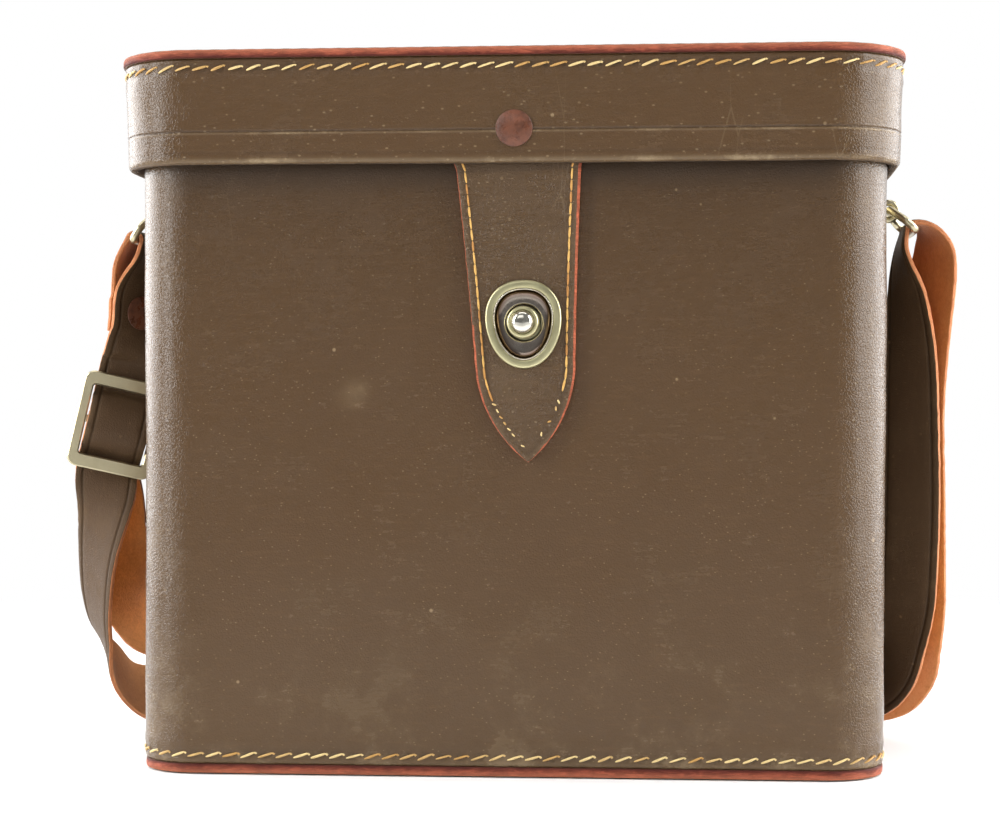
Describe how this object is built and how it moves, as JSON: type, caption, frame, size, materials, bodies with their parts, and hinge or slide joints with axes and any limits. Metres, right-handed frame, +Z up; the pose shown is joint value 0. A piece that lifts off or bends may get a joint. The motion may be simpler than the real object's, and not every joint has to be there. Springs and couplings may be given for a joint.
{
  "type": "binocular hard case",
  "caption": "Upright hard leather case for binoculars, with a hinged lid, a closing tab on a push stud and a shoulder strap on side rings.",
  "frame": {"origin": "middle of the underside, on the plane the case stands on", "axes": "+Z up, +X to the right of the front, -Y out of the front where the closing tab hangs"},
  "size_m": [0.2596, 0.1202, 0.198],
  "materials": {
    "brown_leather": "semi-gloss, fine pebble grain, worn edges",
    "strap_leather": "grain outside, orange-brown suede inside",
    "suede": "raw suede, matte",
    "board": "grey-brown fibre board, matte",
    "felt": "short dark red-brown felt",
    "lacquered_rivet": "brown lacquer worn to metal at the rim",
    "plain_steel": "plain, dull",
    "nickel": "satin nickel, slightly yellowed",
    "polished_nickel": "polished nickel"
  },
  "bodies": {
    "case": {"body_wall": "brown_leather", "base_panel": "brown_leather", "base_board": "board", "body_lining": "felt", "base_pad": "felt", "hinge_leaf_body": "brown_leather", "stud_barrel": "nickel", "stud_backing": "plain_steel", "lug_plate_left": "nickel", "lug_plate_right": "nickel", "lug_washer_left": "plain_steel", "lug_washer_right": "plain_steel"},
    "lid": {"lid_skirt": "brown_leather", "lid_panel": "brown_leather", "lid_board": "board", "lid_lining": "felt", "hinge_leaf_lid": "brown_leather", "hinge_fold": "brown_leather", "tab_root": "brown_leather", "tab_fold": "brown_leather", "lid_rivet": "lacquered_rivet", "lid_burr": "plain_steel"},
    "tab": {"tab_leather": "brown_leather", "tab_lining": "suede", "latch_frame": "nickel", "latch_cup": "polished_nickel", "latch_back": "nickel", "catch_wire": "plain_steel"},
    "button": {"button": "polished_nickel", "button_spring": "plain_steel"},
    "strap": {"strap": "strap_leather", "slide": "nickel", "strap_rivet": "lacquered_rivet", "strap_end_rivet": "plain_steel", "lug_eye_left": "nickel", "lug_eye_right": "nickel", "lug_ring_left": "nickel", "lug_ring_right": "nickel"}
  },
  "joints": [
    {"name": "lid_hinge", "type": "hinge", "parent": "case", "child": "lid", "pos_m": [0, 0.046, 0.1665], "axis": [-1, 0, 0], "range_deg": [0, 110], "deforming": ["hinge_fold"]},
    {"name": "tab_swing", "type": "hinge", "parent": "lid", "child": "tab", "pos_m": [0, -0.04645, 0.1653], "axis": [-1, 0, 0], "range_deg": [0, 85], "deforming": ["tab_fold"]},
    {"name": "latch_button", "type": "slide", "parent": "case", "child": "button", "axis": [0, 1, 0], "range_m": [0, 0.0015], "stiffness_N_per_m": 600, "springref_m": -0.001, "deforming": ["button_spring"]},
    {"name": "strap_swing", "type": "hinge", "parent": "case", "child": "strap", "pos_m": [0, 0, 0.157], "axis": [1, 0, 0], "range_deg": [0, 85]}
  ]
}
